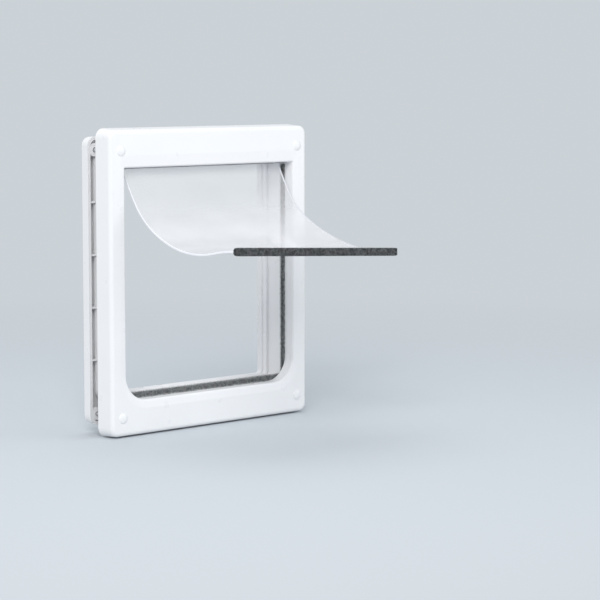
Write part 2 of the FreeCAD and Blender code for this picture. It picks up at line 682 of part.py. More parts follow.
def make_hinge_pins():
    pins = []
    length = "pin_grip + opening_half - rail_half + bush_body - pin_play"
    for side, x in (("right", "rail_half - pin_grip"),
                    ("left", "- opening_half - bush_body + pin_play")):
        pins.append(cylinder(side + "_pin", "pin_radius", length, (x, "pivot_y", "pivot_rise"), RIGHTWARDS))
    return group("hinge_pins", pins)


def hang_on_pivot(part):
    """Turns a piece drawn upright about the pivot into the film's slope at the rail."""
    part.Placement = Placement(Vector(), Rotation(Vector(1, 0, 0), -size("film_lean")))
    bind(part, "Placement.Base.y", "pivot_y")
    bind(part, "Placement.Base.z", "pivot_rise")
    bind(part, "Placement.Rotation.Angle", "film_lean")
    part.Placement.Rotation.Axis = Vector(-1, 0, 0)
    return part


RAIL_SCREWS = [("-far_rib", None), ("-near_rib", None), ("near_rib", None), ("far_rib", None)]


def rail_screw_places():
    """The rail screws, in line with the ribs: index and X."""
    return [(i, x) for i, (x, _) in enumerate(RAIL_SCREWS)]


def make_rail(label, front):
    """One half of the round flap rail, with its screw holes and half bores for the pins."""
    body = new_body(label)
    sketch = sketch_on(body, "half_round", "YZ_Plane", "- rail_half")
    gap = size("film_wall") / 2 * (-1 if front else 1)
    radius = size("rail_radius")
    reach = math.sqrt(radius * radius - gap * gap)
    angles = [math.atan2(z, gap) for z in ((reach, -reach) if front else (-reach, reach))]
    circle = Part.Circle(Vector(0, 0, 0), Vector(0, 0, 1), radius)
    arc = sketch.addGeometry(Part.ArcOfCircle(circle, *angles), False)
    ends = (Vector(gap, -reach, 0), Vector(gap, reach, 0))
    flat = sketch.addGeometry(Part.LineSegment(*(ends if front else ends[::-1])), False)
    sketch.addConstraint(Sketcher.Constraint("Coincident", arc, 3, -1, 1))
    sketch.addConstraint(Sketcher.Constraint("Coincident", arc, 2, flat, 1))
    sketch.addConstraint(Sketcher.Constraint("Coincident", arc, 1, flat, 2))
    sketch.addConstraint(Sketcher.Constraint("Vertical", flat))
    index = sketch.addConstraint(Sketcher.Constraint("Radius", arc, radius))
    bind(sketch, f"Constraints[{index}]", "rail_radius")
    away = (flat, 1, -1, 1) if front else (-1, 1, flat, 1)
    index = sketch.addConstraint(Sketcher.Constraint("DistanceX", *away, abs(gap)))
    bind(sketch, f"Constraints[{index}]", "film_wall / 2")
    pad(body, "half_rail", sketch, "2 * rail_half", False)
    for side, x in (("left", "- rail_half"), ("right", "rail_half - pin_grip")):
        solid(body, "SubtractiveCylinder", side + "_pin_seat", "YZ_Plane", ("0", "0", x),
              {"Radius": "pin_radius", "Height": "pin_grip"})
    holes = sketch_on(body, "screw_hole_outlines", "XZ_Plane", "- rail_radius")
    circles(holes, RAIL_SCREWS, "rail_screw_radius")
    pocket(body, "screw_holes", holes, "2 * rail_radius", False)
    if front:
        seats = sketch_on(body, "head_seat_outlines", "XZ_Plane", "rail_radius - rail_head_height")
        circles(seats, RAIL_SCREWS, "rail_head_radius")
        pocket(body, "head_seats", seats, "rail_head_height", False)
    return hang_on_pivot(body)


def make_rail_screws():
    """Small screws that clamp the film between the two rail halves."""
    screws = []
    for i, x in rail_screw_places():
        head = cylinder(f"rail_head_{i}", "rail_head_radius", "rail_head_height / 2",
                        (x, "rail_head_height / 2 - rail_radius", "0"), INDOORS)
        shank = cylinder(f"rail_shank_{i}", "rail_screw_radius", "2 * rail_radius - 2 * rail_head_height",
                         (x, "rail_head_height - rail_radius", "0"), INDOORS)
        screws.append(joined(f"rail_screw_{i}", [head, shank]))
    return hang_on_pivot(group("rail_screws", screws))


def film_bends(side):
    """The film's bends from the pivot to the edge channel, as pairs of length and turn."""
    knee_twist, reach_twist = side * size("film_knee_twist"), -side * size("film_reach_twist")
    return [
        (size("film_neck"), 0.0),
        (size("film_fall"), size("film_fall_turn")),
        (size("film_knee"), size("film_knee_turn") + knee_twist),
        (size("film_reach"), size("film_reach_turn") + reach_twist),
        (size("film_ease"), -knee_twist - reach_twist),
        (size("film_band"), 0.0),
        (size("film_grip"), 0.0),
    ]


def film_course(side):
    """Points and slopes down one edge of the film, three to a bend. Slopes are off vertical."""
    y, z = size("pivot_y"), size("pivot_rise")
    slope = math.radians(size("film_lean"))
    head = size("film_head")
    rows = [[(y + math.sin(slope) * head * f, z + math.cos(slope) * head * f, slope) for f in (1, 0.5, 0)]]
    for length, turn in film_bends(side):
        row = [(y, z, slope)]
        half = math.radians(turn) / 2
        for _ in range(2):
            chord = length / 2 if not half else length / 2 * math.sin(half / 2) / (half / 2)
            y -= math.sin(slope + half / 2) * chord
            z -= math.cos(slope + half / 2) * chord
            slope += half
            row.append((y, z, slope))
        rows.append(row)
    return rows


def film_section(side):
    """The closed outline of the film's thickness along one edge, in the plane of that edge."""
    x = side * size("film_half")
    half = size("film_wall") / 2

    def shifted(point, offset):
        y, z, slope = point
        return Vector(x, y - math.cos(slope) * offset, z + math.sin(slope) * offset)

    rows = film_course(side)
    upper = []
    lower = []
    for row in rows:
        straight = abs(row[0][2] - row[2][2]) < 1e-9
        for edges, offset in ((upper, half), (lower, -half)):
            a, b, c = (shifted(p, offset) for p in row)
            edges.append(Part.LineSegment(a, c) if straight else Part.Arc(a, b, c))
    tip = Part.LineSegment(shifted(rows[-1][2], half), shifted(rows[-1][2], -half))
    top = Part.LineSegment(shifted(rows[0][0], -half), shifted(rows[0][0], half))
    lower.reverse()
    edges = [e.toShape() for e in upper + [tip] + lower + [top]]
    return Part.Wire(Part.__sortEdges__(edges))


def make_flap_film():
    """The soft flap, bent outwards and slightly twisted, notched round the rail's pins."""
    sheet_part = doc.addObject("Part::Feature", "film_blank")
    sheet_part.Shape = Part.makeLoft([film_section(-1), film_section(1)], True, True)
    tools = []
    for side, x in (("left", "- opening_half"), ("right", "rail_half - pin_grip - 1")):
        tools.append(cylinder(side + "_notch", "rail_radius + 2 * slot_play",
                              "opening_half - rail_half + pin_grip + 1",
                              (x, "pivot_y", "pivot_rise"), RIGHTWARDS))
    lean = size("film_lean")
    for i, x in rail_screw_places():
        hole = cylinder(f"film_hole_{i}", "rail_screw_radius", "2 * rail_radius",
                        (x, "pivot_y", "pivot_rise"), Rotation(Vector(1, 0, 0), -90 - lean))
        bind(hole, "Placement.Base.y", "pivot_y - rail_radius * cos( film_lean * 1deg )")
        bind(hole, "Placement.Base.z", "pivot_rise + rail_radius * sin( film_lean * 1deg )")
        tools.append(hole)
    film = cut("flap_film", sheet_part, joined("film_tools", tools))
    film.Label = "flap_film"
    return film


def edge_placement():
    """The middle of the edge channel, with X along the flap's free edge and -Z pointing outwards."""
    ends = []
    for side in (-1, 1):
        y, z, slope = film_course(side)[-2][2]
        ends.append(Vector(side * size("film_half"), y, z))
    along = (ends[1] - ends[0]).normalize()
    outwards = Vector(0, -math.sin(slope), -math.cos(slope))
    across = along.cross(outwards).normalize()
    up = along.cross(across).normalize()
    matrix = FreeCAD.Matrix(along.x, across.x, up.x, 0, along.y, across.y, up.y, 0,
                            along.z, across.z, up.z, 0, 0, 0, 0, 1)
    placed = Placement(matrix)
    placed.Base = (ends[0] + ends[1]) / 2
    return placed


def make_edge_channel():
    """The channel that grips the film's free edge, with two magnet pockets in its outer edge."""
    body = new_body("flap_edge_channel")
    half_wide = "channel_wide / 2"
    solid(body, "AdditiveBox", "channel_block", "XY_Plane",
          ("- channel_half", "- channel_thick / 2", "- " + half_wide),
          {"Length": "2 * channel_half", "Width": "channel_thick", "Height": "channel_wide"})
    solid(body, "SubtractiveBox", "film_slot", "XY_Plane",
          ("- channel_half", "- film_wall / 2 - slot_play", "- film_grip - slot_play"),
          {"Length": "2 * channel_half", "Width": "film_wall + 2 * slot_play", "Height": "channel_wide"})
    for side, x in (("left", "- magnet_side"), ("right", "magnet_side")):
        solid(body, "SubtractiveBox", side + "_magnet_pocket", "XY_Plane",
              (f"{x} - magnet_length / 2 - magnet_play", "- magnet_thick / 2 - magnet_play",
               "- " + half_wide),
              {"Length": "magnet_length + 2 * magnet_play", "Width": "magnet_thick + 2 * magnet_play",
               "Height": "magnet_deep - magnet_play - slot_play"})
    body.Placement = edge_placement()
    return body


def make_edge_pile():
    """The pile strip folded round the edge channel: flat outwards, round towards the film."""
    body = new_body("flap_edge_pile")
    half_wide = "channel_wide / 2"
    solid(body, "AdditiveBox", "pile_block", "XY_Plane",
          ("- edge_pile_half", "- channel_thick / 2 - edge_pile_wall", f"- {half_wide} - edge_pile_wall"),
          {"Length": "2 * edge_pile_half", "Width": "channel_thick + 2 * edge_pile_wall",
           "Height": "channel_wide + 2 * edge_pile_wall"})
    top = size("channel_wide") / 2 + size("edge_pile_wall")
    round_edges(body, "pile_rounding", "edge_pile_round", lambda e: e.BoundBox.ZMin > top - 1e-4
                and e.BoundBox.XLength > size("edge_pile_half"))
    solid(body, "SubtractiveBox", "channel_room", "XY_Plane",
          ("- edge_pile_half", "- channel_thick / 2", "- " + half_wide),
          {"Length": "2 * edge_pile_half", "Width": "channel_thick", "Height": "channel_wide"})
    solid(body, "SubtractiveBox", "film_room", "XY_Plane",
          ("- edge_pile_half", "- film_wall / 2 - slot_play", "0"),
          {"Length": "2 * edge_pile_half", "Width": "film_wall + 2 * slot_play", "Height": "channel_wide"})
    body.Placement = edge_placement()
    return body


def make_flap_magnets():
    magnets = []
    for side, x in (("left", "- magnet_side"), ("right", "magnet_side")):
        magnets.append(box(side + "_flap_magnet",
                           ("magnet_length", "magnet_thick", "magnet_deep - 2 * magnet_play - slot_play"),
                           (f"{x} - magnet_length / 2", "- magnet_thick / 2", "- channel_wide / 2")))
    magnets = group("flap_magnets", magnets)
    magnets.Placement = edge_placement()
    return magnets


PIECES = [
    make_outer_frame(),
    make_inner_frame(),
    make_frame_pile(),
    make_sill_magnets(),
    make_screw_inserts(),
    make_frame_screws(),
    make_screw_caps(),
    make_hinge_bushes(),
    make_hinge_pins(),
    make_rail("flap_rail_front", True),
    make_rail("flap_rail_back", False),
    make_rail_screws(),
    make_flap_film(),
    make_edge_channel(),
    make_edge_pile(),
    make_flap_magnets(),
]

doc.recompute()
for thing in doc.Objects:
    if "Invalid" in thing.State or "Error" in thing.State:
        raise RuntimeError(f"{thing.Name} failed: {thing.State}")
for piece in PIECES:
    if piece.Shape.isNull() or not piece.Shape.isValid():
        raise RuntimeError(piece.Label + " has no valid shape")

os.makedirs("parts", exist_ok=True)
for piece in PIECES:
    piece.Shape.exportStep(f"parts/{piece.Label}.step")
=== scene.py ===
import bisect
import json
import math
import random

import bmesh
import bpy
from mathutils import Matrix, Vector


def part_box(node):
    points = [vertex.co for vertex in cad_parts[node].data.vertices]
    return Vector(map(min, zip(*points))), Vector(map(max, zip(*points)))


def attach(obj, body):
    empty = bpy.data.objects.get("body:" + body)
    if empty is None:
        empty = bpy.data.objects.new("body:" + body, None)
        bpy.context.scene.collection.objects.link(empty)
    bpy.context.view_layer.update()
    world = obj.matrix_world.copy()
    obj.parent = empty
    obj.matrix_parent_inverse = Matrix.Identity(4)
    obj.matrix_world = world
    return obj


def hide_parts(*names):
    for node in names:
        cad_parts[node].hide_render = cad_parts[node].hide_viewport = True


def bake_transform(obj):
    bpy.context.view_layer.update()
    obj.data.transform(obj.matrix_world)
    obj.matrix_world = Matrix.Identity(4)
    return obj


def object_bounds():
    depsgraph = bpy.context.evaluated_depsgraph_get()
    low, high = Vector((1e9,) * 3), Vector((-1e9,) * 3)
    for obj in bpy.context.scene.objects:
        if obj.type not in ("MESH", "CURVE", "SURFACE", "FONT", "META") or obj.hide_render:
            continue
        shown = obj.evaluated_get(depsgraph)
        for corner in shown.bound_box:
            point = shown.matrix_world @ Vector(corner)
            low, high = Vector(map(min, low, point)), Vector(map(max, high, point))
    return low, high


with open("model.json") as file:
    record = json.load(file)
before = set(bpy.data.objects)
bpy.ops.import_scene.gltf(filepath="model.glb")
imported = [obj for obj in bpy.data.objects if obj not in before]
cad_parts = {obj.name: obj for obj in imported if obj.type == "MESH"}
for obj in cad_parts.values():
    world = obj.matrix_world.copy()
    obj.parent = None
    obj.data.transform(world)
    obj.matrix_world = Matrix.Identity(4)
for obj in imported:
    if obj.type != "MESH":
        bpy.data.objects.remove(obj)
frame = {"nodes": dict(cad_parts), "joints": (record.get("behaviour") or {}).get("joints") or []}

# A small pet door, seen from outside: white moulded face frame, soft clear flap bent outwards and
# pile seals. Metres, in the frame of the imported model: +X right, +Y indoors, +Z up.

cad_low, cad_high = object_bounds()
nodes = frame["nodes"]
scene = bpy.context.scene


# Camera, lamps, world and floor

CAMERA_PLACE = (-1.3305, -1.5818, 0.1962)
CAMERA_YAW = 42.786
CAMERA_PITCH = 6.088
CAMERA_LENS = 127.8
CAMERA_SENSOR = 36.0

# Name, place, side of the square, watts and colour; each lamp looks at the origin.
LAMPS = [
    ("key", (-1.7, -1.5, 1.4), 1.2, 40.0, (1.0, 0.99, 0.98)),
    ("fill", (1.4, -1.5, 0.5), 1.4, 9.0, (0.95, 0.97, 1.0)),
    ("top", (0.1, 0.6, 1.8), 1.4, 9.0, (0.97, 0.98, 1.0)),
]

SKY = (0.93, 0.96, 1.0, 1.0)
SKY_STRENGTH = 0.6
BACKDROP = (0.60, 0.645, 0.68, 1.0)
FLOOR = (0.60, 0.64, 0.675, 1.0)
FLOOR_GAP = 0.0003
FLOOR_REACH = 1.6
FLOOR_FADE_START = 0.25
FLOOR_FADE_END = 1.3
FLOOR_RINGS = 10
FLOOR_STEPS = 64


def place(holder, where, look):
    """Links a camera or lamp into the scene, with its view along look."""
    scene.collection.objects.link(holder)
    holder.location = where
    holder.rotation_mode = "QUATERNION"
    holder.rotation_quaternion = look.to_track_quat("-Z", "Y")


def make_camera():
    camera = bpy.data.cameras.new("camera")
    camera.sensor_width = CAMERA_SENSOR
    camera.lens = CAMERA_LENS
    camera.clip_start = 0.05
    camera.clip_end = 60.0
    yaw, pitch = math.radians(CAMERA_YAW), math.radians(CAMERA_PITCH)
    level = math.cos(pitch)
    look = Vector((math.sin(yaw) * level, math.cos(yaw) * level, -math.sin(pitch)))
    scene.camera = bpy.data.objects.new("camera", camera)
    place(scene.camera, CAMERA_PLACE, look)


def make_lamps():
    for name, where, side, power, colour in LAMPS:
        lamp = bpy.data.lights.new(name, "AREA")
        lamp.shape = "RECTANGLE"
        lamp.size = side
        lamp.size_y = side
        lamp.energy = power
        lamp.color = colour
        place(bpy.data.objects.new(name, lamp), where, -Vector(where))


def seen_by_eye(tree):
    """1 for camera, glossy and transmission rays, which see the backdrop's colour, else 0."""
    path = tree.nodes.new("ShaderNodeLightPath")
    total = path.outputs["Is Camera Ray"]
    for output in ("Is Glossy Ray", "Is Transmission Ray"):
        larger = tree.nodes.new("ShaderNodeMath")
        larger.operation = "MAXIMUM"
        tree.links.new(total, larger.inputs[0])
        tree.links.new(path.outputs[output], larger.inputs[1])
        total = larger.outputs[0]
    return total


def make_world():
    world = bpy.data.worlds.new("studio")
    world.use_nodes = True
    tree = world.node_tree
    tree.nodes.clear()
    out = tree.nodes.new("ShaderNodeOutputWorld")
    mix = tree.nodes.new("ShaderNodeMixShader")
    tree.links.new(seen_by_eye(tree), mix.inputs["Fac"])
    for slot, colour, strength in ((1, SKY, SKY_STRENGTH), (2, BACKDROP, 1.0)):
        light = tree.nodes.new("ShaderNodeBackground")
        light.inputs["Color"].default_value = colour
        light.inputs["Strength"].default_value = strength
        tree.links.new(light.outputs[0], mix.inputs[slot])
    tree.links.new(mix.outputs[0], out.inputs["Surface"])
    scene.world = world


def floor_material():
    """Paper that turns clear away from the middle, so that the floor runs into the backdrop."""
    material = bpy.data.materials.new("floor")
    material.use_nodes = True
    tree = material.node_tree
    tree.nodes.clear()
    out = tree.nodes.new("ShaderNodeOutputMaterial")
    paper = tree.nodes.new("ShaderNodeBsdfDiffuse")
    paper.inputs["Color"].default_value = FLOOR
    clear = tree.nodes.new("ShaderNodeBsdfTransparent")
    where = tree.nodes.new("ShaderNodeTexCoord")
    length = tree.nodes.new("ShaderNodeVectorMath")
    length.operation = "LENGTH"
    fade = tree.nodes.new("ShaderNodeMapRange")
    fade.interpolation_type = "SMOOTHSTEP"
    fade.inputs["From Min"].default_value = FLOOR_FADE_START
    fade.inputs["From Max"].default_value = FLOOR_FADE_END
    fade.inputs["To Min"].default_value = 1.0
    fade.inputs["To Max"].default_value = 0.0
    mix = tree.nodes.new("ShaderNodeMixShader")
    tree.links.new(where.outputs["Object"], length.inputs[0])
    tree.links.new(length.outputs["Value"], fade.inputs["Value"])
    tree.links.new(fade.outputs["Result"], mix.inputs["Fac"])
    tree.links.new(clear.outputs[0], mix.inputs[1])
    tree.links.new(paper.outputs[0], mix.inputs[2])
    tree.links.new(mix.outputs[0], out.inputs["Surface"])
    return material


def make_floor():
    """A pale round floor just under the frame."""
    points = [(0.0, 0.0, 0.0)]
    for ring in range(1, FLOOR_RINGS + 1):
        radius = FLOOR_REACH * ring / FLOOR_RINGS
        for step in range(FLOOR_STEPS):
            angle = 2 * math.pi * step / FLOOR_STEPS
            points.append((math.cos(angle) * radius, math.sin(angle) * radius, 0.0))
    faces = [(0, 1 + step, 1 + (step + 1) % FLOOR_STEPS) for step in range(FLOOR_STEPS)]
    for ring in range(1, FLOOR_RINGS):
        start = 1 + (ring - 1) * FLOOR_STEPS
        for step in range(FLOOR_STEPS):
            a, b = start + step, start + (step + 1) % FLOOR_STEPS
            faces.append((a, a + FLOOR_STEPS, b + FLOOR_STEPS, b))
    mesh = bpy.data.meshes.new("floor")
    mesh.from_pydata(points, [], faces)
    mesh.materials.append(floor_material())
    floor = bpy.data.objects.new("floor", mesh)
    floor.location = (0.0, 0.0, cad_low.z - FLOOR_GAP)
    scene.collection.objects.link(floor)


# Materials

class Finish:
    """A material with one Principled shader, whose nodes read the piece's own place in metres."""

    def __init__(self, name):
        self.material = bpy.data.materials.new(name)
        self.material.use_nodes = True
        self.tree = self.material.node_tree
        self.surface = self.tree.nodes["Principled BSDF"]
        self.where = self.tree.nodes.new("ShaderNodeTexCoord").outputs["Object"]

    def add(self, kind, values, links):
        """A new node, with its constant and its linked inputs by name."""
        node = self.tree.nodes.new("ShaderNode" + kind)
        for name, value in values.items():
            node.inputs[name].default_value = value
        for name, value in links.items():
            self.tree.links.new(value, node.inputs[name])
        return node

    def noise(self, scale, detail=2.0, rough=0.5, stretch=None):
        where = self.where
        if stretch:
            where = self.add("Mapping", {"Scale": stretch}, {"Vector": where}).outputs["Vector"]
        values = {"Scale": scale, "Detail": detail, "Roughness": rough}
        return self.add("TexNoise", values, {"Vector": where}).outputs["Fac"]

    def blend(self, value, dark, light, start=0.3, end=0.7):
        """Dark below start, light above end."""
        node = self.add("ValToRGB", {}, {"Fac": value})
        stops = zip(node.color_ramp.elements, (start, end), (dark, light))
        for element, position, colour in stops:
            element.position = position
            element.color = (*colour, 1.0)
        return node.outputs["Color"]

    def span(self, value, low, high, start=0.3, end=0.7):
        values = {"From Min": start, "From Max": end, "To Min": low, "To Max": high}
        return self.add("MapRange", values, {"Value": value}).outputs["Result"]

    def bump(self, value, strength, distance, below=None):
        links = {"Height": value}
        if below:
            links["Normal"] = below
        values = {"Strength": strength, "Distance": distance}
        return self.add("Bump", values, links).outputs["Normal"]

    def feed(self, **links):
        """Links values to the shader's inputs; an underscore stands for a space."""
        for name, value in links.items():
            self.tree.links.new(value, self.surface.inputs[name.replace("_", " ")])

    def fix(self, **values):
        """Sets constants on the shader's own inputs; an underscore stands for a space."""
        for name, value in values.items():
            self.surface.inputs[name.replace("_", " ")].default_value = value


def moulded_plastic(name, dark, light, rough):
    """Injection-moulded plastic: faint flow in the colour, fine skin and uneven gloss."""
    finish = Finish(name)
    flow = finish.noise(14.0, 3.0, 0.55, (1.0, 1.0, 2.2))
    skin = finish.bump(finish.noise(1400.0), 0.25, 0.00004)
    finish.feed(
        Base_Color=finish.blend(flow, dark, light),
        Roughness=finish.span(finish.noise(60.0, 4.0), rough - 0.03, rough + 0.03),
        Normal=finish.bump(finish.noise(90.0, 1.0), 0.12, 0.00006, skin))
    finish.fix(IOR=1.5)
    return finish.material


def fibre_pile(name, dark, light):
    """Short woven pile: every small tuft its own grey."""
    finish = Finish(name)
    tufts = finish.noise(420.0, 4.0, 0.75)
    finish.feed(
        Base_Color=finish.blend(tufts, dark, light, 0.38, 0.62),
        Roughness=finish.span(finish.noise(200.0), 0.75, 0.95),
        Normal=finish.bump(finish.noise(3000.0), 0.4, 0.0002))
    finish.fix(Sheen_Weight=0.35, Sheen_Roughness=0.5, Sheen_Tint=(0.75, 0.8, 0.85, 1.0),
               Specular_IOR_Level=0.2)
    return finish.material


def metal(name, dark, light, rough, stretch):
    """Metal with the fine marks of turning or drawing."""
    finish = Finish(name)
    grain = finish.noise(900.0, 3.0, 0.6, stretch)
    finish.feed(
        Base_Color=finish.blend(grain, dark, light),
        Roughness=finish.span(grain, rough - 0.08, rough + 0.08),
        Normal=finish.bump(grain, 0.2, 0.00004))
    finish.fix(Metallic=1.0)
    return finish.material


def vinyl(name, dark, light, rough):
    """Clear vinyl with a milky cast, faint ripples and an uneven gloss."""
    finish = Finish(name)
    haze = finish.noise(22.0, 3.0, 0.5, (1.0, 1.6, 1.6))
    ripple = finish.bump(finish.noise(38.0), 0.35, 0.0006)
    finish.feed(
        Base_Color=finish.blend(haze, dark, light),
        Roughness=finish.span(finish.noise(45.0, 3.0), rough, rough + 0.08),
        Normal=finish.bump(finish.noise(700.0), 0.1, 0.00004, ripple))
    finish.fix(IOR=1.53, Coat_Weight=0.35, Coat_Roughness=0.14)
    return finish


def milky_sheet():
    """The film's faces: clear near the rail and milky from MILKY_FROM outwards."""
    finish = vinyl("clear_vinyl", (0.86, 0.86, 0.87), (0.95, 0.95, 0.97), 0.10)
    outwards = finish.add("SeparateXYZ", {}, {"Vector": finish.where}).outputs["Y"]
    finish.feed(Alpha=finish.span(outwards, MILKY, CLEAR, MILKY_FROM, CLEAR_UNTIL))
    return finish.material


def rim_painted_highlight():
    """The film's cut edges: more opaque than the sheet, with a lighter colour that is a painted highlight
    for the light the edges gather.
    """
    # The lighter, bluish colour here is a painted highlight for light caught in the cut edges.
    finish = vinyl("vinyl_rim_painted_highlight", (0.90, 0.90, 0.95), (0.96, 0.96, 1.0), 0.16)
    finish.fix(Alpha=0.93)
    return finish.material


# The film's opacity: CLEAR down to CLEAR_UNTIL in front of the door leaf, MILKY from MILKY_FROM.
CLEAR = 0.22
MILKY = 0.60
CLEAR_UNTIL = -0.02
MILKY_FROM = -0.09

ALONG_X = (0.1, 1.0, 1.0)
ALONG_Y = (1.0, 0.1, 1.0)

WHITE = moulded_plastic("white_plastic", (0.862, 0.864, 0.872), (0.88, 0.882, 0.89), 0.30)
CAP = moulded_plastic("cap_plastic", (0.82, 0.825, 0.835), (0.86, 0.865, 0.875), 0.38)
# The rails' grey, darker than the white plastic, is painted shade from the lintel above them.
RAIL_PAINTED_SHADE = moulded_plastic("rail_plastic", (0.70, 0.71, 0.73), (0.76, 0.77, 0.79), 0.34)
BUSH = moulded_plastic("bush_plastic", (0.72, 0.72, 0.70), (0.78, 0.78, 0.76), 0.42)
CHANNEL = moulded_plastic("channel_plastic", (0.045, 0.05, 0.055), (0.06, 0.065, 0.07), 0.45)
MAGNET = moulded_plastic("ferrite", (0.03, 0.03, 0.032), (0.045, 0.045, 0.048), 0.5)
PILE = fibre_pile("grey_pile", (0.09, 0.095, 0.097), (0.42, 0.43, 0.43))
EDGE = fibre_pile("edge_pile", (0.016, 0.017, 0.018), (0.122, 0.125, 0.126))
BRASS = metal("brass", (0.62, 0.43, 0.18), (0.74, 0.55, 0.27), 0.34, ALONG_Y)
STEEL = metal("zinc_steel", (0.52, 0.53, 0.55), (0.68, 0.69, 0.70), 0.34, ALONG_Y)
PIN = metal("pin_steel", (0.50, 0.50, 0.51), (0.64, 0.64, 0.65), 0.26, ALONG_X)
FILM = milky_sheet()
FILM_RIM_HIGHLIGHT = rim_painted_highlight()

NODE_MATERIALS = {
    "outer_frame": WHITE, "inner_frame": WHITE, "screw_caps": CAP, "sill_magnets": MAGNET,
    "screw_inserts": BRASS, "frame_screws": STEEL, "hinge_bushes": BUSH, "hinge_pins": PIN,
    "flap_rail_front": RAIL_PAINTED_SHADE, "flap_rail_back": RAIL_PAINTED_SHADE, "rail_screws": STEEL,
    "flap_edge_channel": CHANNEL, "flap_magnets": MAGNET,
}


def dress_nodes():
    for name, material in NODE_MATERIALS.items():
        for slot in nodes[name].material_slots:
            slot.material = material


# Flap film: its course runs from the pivot down to the free edge, in lengths and degrees

PIVOT = next(joint for joint in frame["joints"] if joint["name"] == "flap_swing")["pos_m"][1:]
FILM_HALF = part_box("flap_film")[1].x
FILM_WALL = 0.0018
FILM_ROUND = 0.00035
LEAN = 28.4
NECK = 0.00781
FALL = (0.0320, 5.3)
KNEE = (0.0350, 24.9)
KNEE_TWIST = 2.2
REACH = (0.0930, 35.3)
REACH_TWIST = 10.1
EASE = 0.020
BAND = 0.0128

# Lengths down the course: inside the rail, from the rail to the channel's mouth, the channel's
# middle and the film's end.
RAIL_STATIONS = (-0.0042, -0.002, 0.0, 0.0026, 0.0053)
CHANNEL_MOUTH = 0.1954
CHANNEL_AT = 0.19981
FILM_END = 0.2006

# Inside the rail the film is narrower than below it.
RAIL_FILM_HALF = 0.0940
NEAR_EDGE = 0.0965
ROWS = 88
COLUMNS = 60
SLIVER = 0.00001


def film_point(side, s):
    """Y, Z and slope off vertical at length s below the pivot, down one edge of the film."""
    y, z = PIVOT
    slope = math.radians(LEAN)
    if s <= 0:
        return y - math.sin(slope) * s, z - math.cos(slope) * s, slope
    knee_twist, reach_twist = side * KNEE_TWIST, -side * REACH_TWIST
    bends = [(NECK, 0.0), FALL, (KNEE[0], KNEE[1] + knee_twist), (REACH[0], REACH[1] + reach_twist),
             (EASE, -knee_twist - reach_twist), (BAND, 0.0)]
    for length, turn in bends:
        part = min(s, length)
        angle = math.radians(turn) * part / length
        chord = part if abs(angle) < 1e-9 else part * math.sin(angle / 2) / (angle / 2)
        y -= math.sin(slope + angle / 2) * chord
        z -= math.cos(slope + angle / 2) * chord
        slope += angle
        s -= part
        if s <= 0:
            break
    return y, z, slope


def film_grid(mesh):
    """The film's middle surface, with its two upper corners left out for the rail's ends."""
    below = RAIL_STATIONS[-1]
    stations = [*RAIL_STATIONS, *[below + (CHANNEL_MOUTH - below) * i / ROWS for i in range(1, ROWS + 1)],
                FILM_END]
    columns = [-FILM_HALF, -NEAR_EDGE, *[RAIL_FILM_HALF * (2 * i / COLUMNS - 1) for i in range(COLUMNS + 1)],
               NEAR_EDGE, FILM_HALF]
    grid = []
    for s in stations:
        (left_y, left_z, _), (right_y, right_z, _) = film_point(-1, s), film_point(1, s)
        row = []
        for x in columns:
            f = (x / FILM_HALF + 1) / 2
            row.append(mesh.verts.new((x, left_y + (right_y - left_y) * f, left_z + (right_z - left_z) * f)))
        grid.append(row)
    for i in range(len(stations) - 1):
        for j in range(len(columns) - 1):
            beside = max(-columns[j], columns[j + 1]) > RAIL_FILM_HALF + SLIVER
            if not (beside and stations[i + 1] < below + SLIVER):
                mesh.faces.new((grid[i][j], grid[i][j + 1], grid[i + 1][j + 1], grid[i + 1][j]))
    bmesh.ops.delete(mesh, geom=[v for v in mesh.verts if not v.link_faces], context="VERTS")


def settle(blank, name):
    """A new smooth object with the blank's modifiers applied to its mesh."""
    bpy.context.view_layer.update()
    graph = bpy.context.evaluated_depsgraph_get()
    data = bpy.data.meshes.new_from_object(blank.evaluated_get(graph))
    data.name = name
    piece = bpy.data.objects.new(name, data)
    scene.collection.objects.link(piece)
    bpy.data.objects.remove(blank)
    for polygon in data.polygons:
        polygon.use_smooth = True
    return piece


def make_film():
    mesh = bmesh.new()
    film_grid(mesh)
    data = bpy.data.meshes.new("film_sheet")
    mesh.to_mesh(data)
    mesh.free()
    data.materials.append(FILM)
    data.materials.append(FILM_RIM_HIGHLIGHT)
    blank = bpy.data.objects.new("film_blank", data)
    scene.collection.objects.link(blank)
    thick = blank.modifiers.new("thickness", "SOLIDIFY")
    thick.thickness = FILM_WALL
    thick.offset = 0.0
    thick.use_even_offset = True
    thick.material_offset_rim = 1
    soft = blank.modifiers.new("soft_rim", "BEVEL")
    soft.width = FILM_ROUND
    soft.segments = 3
    soft.limit_method = "ANGLE"
    soft.angle_limit = math.radians(50)
    soft.material = 1
    film = settle(blank, "flap_sheet")
    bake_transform(film)
    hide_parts("flap_film")


# Pile seal in the jambs and sill

SEAL_LOW, SEAL_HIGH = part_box("frame_pile")
SEAL_FRONT, SEAL_BACK, SEAL_TOP = SEAL_LOW.y, SEAL_HIGH.y, SEAL_HIGH.z
SEAL_SEAT = 0.0010
SEAL_CORNER = 0.0060
SEAL_STEP = 0.0008
SEAT_PLAY = 0.0001
BACKING = 0.0005
BACKING_CROWN = 0.0004
BACKING_BEVEL = 0.0008
JAMB_PILE = 0.00426
SILL_PILE = 0.0070
SEAL_ROWS = 6
TUFT = 5
FIBRE_INSET = 0.0004
SEAL_FIBRE = 0.00011

# How far a seal fibre's root and tip stray, along the seal and across it.
ROOT_ALONG = 0.0005
ROOT_ACROSS = 0.0002
TIP_ALONG = 0.0006
TIP_ACROSS = 0.0004


